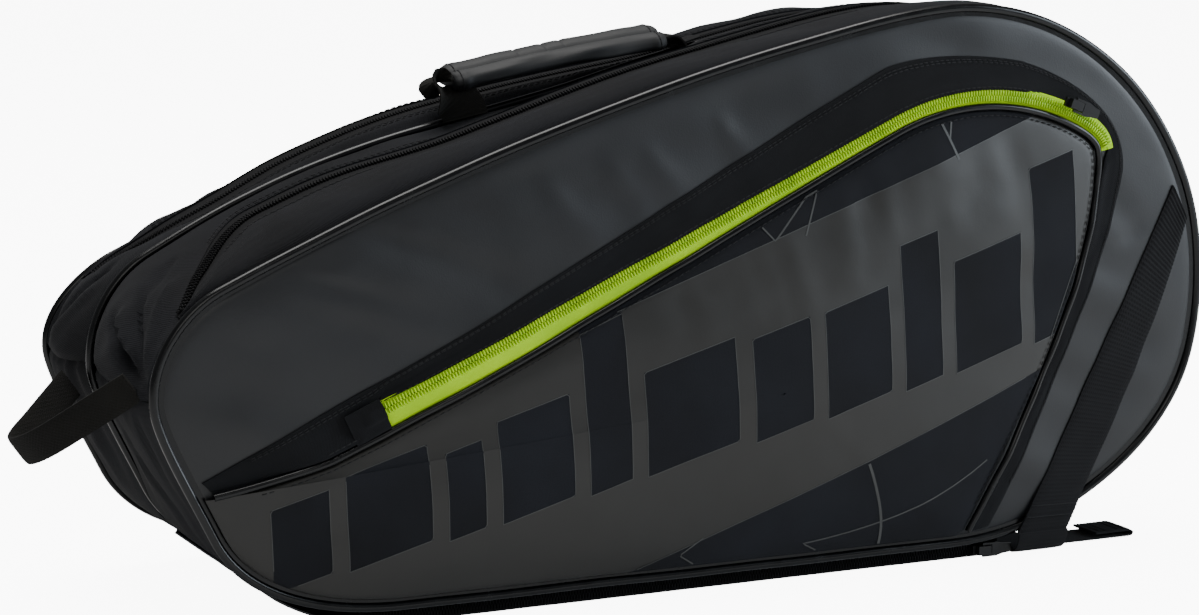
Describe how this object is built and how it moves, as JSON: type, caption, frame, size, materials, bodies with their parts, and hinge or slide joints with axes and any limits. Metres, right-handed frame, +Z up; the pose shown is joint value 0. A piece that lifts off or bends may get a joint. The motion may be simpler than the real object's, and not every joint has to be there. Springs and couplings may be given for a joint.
{
  "type": "racket tournament bag",
  "caption": "Teardrop racket bag with side-by-side zipped compartments, slanted front pocket, padded carry handle, end loop and stowed shoulder harness.",
  "frame": {"origin": "middle of the flat underside, below the seam between the two compartments", "axes": "+X towards the wide rounded end, -Y towards the pocket side, +Z up"},
  "size_m": [0.6699, 0.2261, 0.3139],
  "materials": {
    "piping": "glossy black piping",
    "foam": "closed-cell foam board",
    "lining": "plain woven lining",
    "twill": "black twill",
    "zip_black": "black woven tape with nylon coil",
    "coated": "matte polyurethane-coated fabric",
    "pocket_face": "matte film over black weave",
    "zip_lime": "lime woven tape with nylon coil",
    "webbing": "ribbed polypropylene webbing",
    "strap_pad": "foam pad in black mesh",
    "adjuster": "moulded acetal",
    "slider": "black enamelled zinc"
  },
  "bodies": {
    "carcass": {"mid_piping": "piping", "divider_board": "foam", "front_base_foam": "foam", "rear_base_foam": "foam", "front_inner_gusset": "twill", "front_zip_inner_half": "zip_black", "front_lower_gusset": "twill", "rear_inner_gusset": "twill", "rear_zip_inner_half": "zip_black", "rear_lower_gusset": "twill", "harness_cover": "coated", "harness_zip": "zip_black", "front_shoulder_strap": "strap_pad", "rear_shoulder_strap": "strap_pad", "front_ladder_lock": "adjuster", "rear_ladder_lock": "adjuster", "front_webbing_under": "webbing", "rear_webbing_under": "webbing", "handle_anchor_left": "webbing", "handle_anchor_right": "webbing"},
    "front_lid": {"front_panel": "coated", "front_panel_foam": "foam", "front_panel_lining": "lining", "front_piping": "piping", "front_outer_gusset": "twill", "front_zip_outer_half": "zip_black", "pocket_band": "twill", "pocket_zip_upper_half": "zip_lime", "front_webbing": "webbing"},
    "pocket_flap": {"pocket_panel": "pocket_face", "pocket_piping": "piping", "pocket_zip_lower_half": "zip_lime"},
    "rear_lid": {"rear_panel": "coated", "rear_panel_foam": "foam", "rear_panel_lining": "lining", "rear_piping": "piping", "rear_outer_gusset": "twill", "rear_zip_outer_half": "zip_black", "rear_webbing": "webbing"},
    "handle": {"handle_webbing": "webbing", "handle_wrap": "coated"},
    "nose_loop": {"end_loop": "webbing"},
    "front_zip_slider": {"front_slider": "slider"},
    "front_zip_puller": {"front_puller": "slider"},
    "rear_zip_slider": {"rear_slider": "slider"},
    "rear_zip_puller": {"rear_puller": "slider"},
    "pocket_zip_slider": {"pocket_slider": "slider"},
    "pocket_zip_puller": {"pocket_puller": "slider"},
    "harness_zip_slider": {"harness_slider": "slider"},
    "harness_zip_puller": {"harness_puller": "slider"},
    "strap_tail": {"front_strap_tail": "webbing"}
  },
  "joints": [
    {"name": "front_lid_hinge", "type": "hinge", "parent": "carcass", "child": "front_lid", "pos_m": [0, -0.125, 0.012], "axis": [1, 0, 0], "range_deg": [0, 30]},
    {"name": "rear_lid_hinge", "type": "hinge", "parent": "carcass", "child": "rear_lid", "pos_m": [0, 0.072, 0.012], "axis": [-1, 0, 0], "range_deg": [0, 30]},
    {"name": "pocket_flap_hinge", "type": "hinge", "parent": "front_lid", "child": "pocket_flap", "pos_m": [0, -0.1282, 0.017], "axis": [1, 0, 0], "range_deg": [0, 12]},
    {"name": "handle_swing", "type": "hinge", "parent": "carcass", "child": "handle", "pos_m": [-0.094, 0, 0.2562], "axis": [0.9691, 0, 0.2466], "range_deg": [-4, 10]},
    {"name": "loop_swing", "type": "hinge", "parent": "carcass", "child": "nose_loop", "pos_m": [-0.316, -0.043, 0.122], "axis": [0, 0.989, -0.1478], "range_deg": [-12, 30]},
    {"name": "front_slider_travel", "type": "hinge", "parent": "front_lid", "child": "front_zip_slider", "pos_m": [0.15, -0.042, 0.15], "axis": [0, -1, 0], "range_deg": [0, 96]},
    {"name": "front_puller_swing", "type": "hinge", "parent": "front_zip_slider", "child": "front_zip_puller", "pos_m": [0.31062, -0.042, 0.12743], "axis": [0, -1, 0], "range_deg": [0, 170]},
    {"name": "rear_slider_travel", "type": "hinge", "parent": "rear_lid", "child": "rear_zip_slider", "pos_m": [0.15, 0.03, 0.15], "axis": [0, -1, 0], "range_deg": [0, 96]},
    {"name": "rear_puller_swing", "type": "hinge", "parent": "rear_zip_slider", "child": "rear_zip_puller", "pos_m": [0.3027, 0.03, 0.12854], "axis": [0, -1, 0], "range_deg": [0, 170]},
    {"name": "pocket_slider_travel", "type": "hinge", "parent": "front_lid", "child": "pocket_zip_slider", "pos_m": [0.1605, -0.13729, 0.1205], "axis": [0, -1, 0], "range_deg": [0, 44]},
    {"name": "pocket_puller_swing", "type": "hinge", "parent": "pocket_zip_slider", "child": "pocket_zip_puller", "pos_m": [0.21512, -0.14029, 0.25568], "axis": [-0.3746, 0, -0.9272], "range_deg": [0, 170]},
    {"name": "harness_slider_travel", "type": "slide", "parent": "carcass", "child": "harness_zip_slider", "axis": [-1, 0, 0], "range_m": [0, 0.36]},
    {"name": "harness_puller_swing", "type": "hinge", "parent": "harness_zip_slider", "child": "harness_zip_puller", "pos_m": [0.172, -0.1227, 0.0052], "axis": [0, 0, -1], "range_deg": [0, 170]},
    {"name": "tail_lift", "type": "hinge", "parent": "carcass", "child": "strap_tail", "pos_m": [0.221, -0.0995, 0.0011], "axis": [0, -1, 0], "range_deg": [0, 30]}
  ]
}
